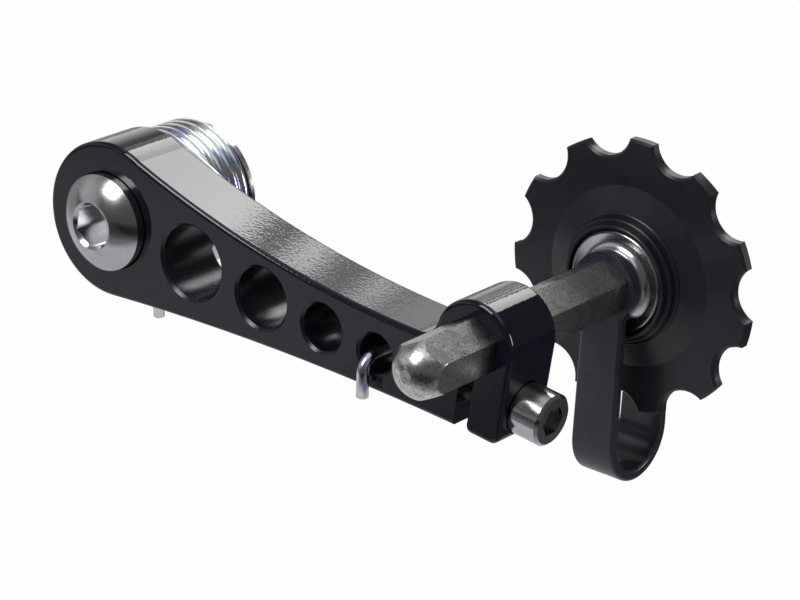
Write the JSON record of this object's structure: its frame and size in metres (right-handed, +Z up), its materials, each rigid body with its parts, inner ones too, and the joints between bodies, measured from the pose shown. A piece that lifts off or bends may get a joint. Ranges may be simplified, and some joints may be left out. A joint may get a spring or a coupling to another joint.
{
  "type": "bicycle chain tensioner",
  "caption": "Sprung bicycle chain tensioner: a drilled arm on a hanger bolt clamps a hexagonal shaft that carries a toothed pulley and a U-shaped chain guide.",
  "frame": {"origin": "on the pivot bolt's axis, where its thread starts, just behind the stop washer's hanger face", "axes": "+X from the pivot bolt along the arm to the clamp, +Y along the pivot bolt towards the hanger, +Z up, square to both"},
  "size_m": [0.1014, 0.0632, 0.0537],
  "materials": {
    "black_paint": "satin",
    "black_nylon": "matte",
    "chrome_steel": "polished",
    "nickel_steel": "satin",
    "zinc_steel": "satin",
    "bearing_steel": "polished",
    "grey_polymer": "matte"
  },
  "bodies": {
    "hanger_mount": {"pivot_bolt": "chrome_steel", "pivot_sleeve": "bearing_steel", "stop_washer": "zinc_steel", "torsion_spring": "zinc_steel"},
    "swing_arm": {"arm": "black_paint", "front_bushing": "black_nylon", "rear_bushing": "black_nylon", "clamp_screw": "chrome_steel"},
    "shaft": {"hex_shaft": "nickel_steel", "chain_guide": "black_nylon", "front_dust_cap": "chrome_steel", "rear_dust_cap": "chrome_steel", "bearing_inner_race": "bearing_steel", "bearing_ball_ring": "bearing_steel", "axle_washer": "zinc_steel", "axle_screw": "chrome_steel"},
    "pulley": {"pulley_wheel": "black_nylon", "bearing_outer_race": "bearing_steel", "front_shield": "grey_polymer", "rear_shield": "grey_polymer"}
  },
  "joints": [
    {"name": "arm_pivot", "type": "hinge", "parent": "hanger_mount", "child": "swing_arm", "pos_m": [0, 0, 0], "axis": [0, 1, 0], "range_deg": [-15, 45], "stiffness_Nm_per_rad": 1.4, "springref_deg": -1.55, "deforming": ["torsion_spring"]},
    {"name": "shaft_slide", "type": "slide", "parent": "swing_arm", "child": "shaft", "axis": [0, 1, 0], "range_m": [-0.012, 0.008]},
    {"name": "pulley_spin", "type": "hinge", "parent": "shaft", "child": "pulley", "pos_m": [0.0685, 0.01585, 0.0083], "axis": [0, 1, 0], "continuous": true}
  ]
}
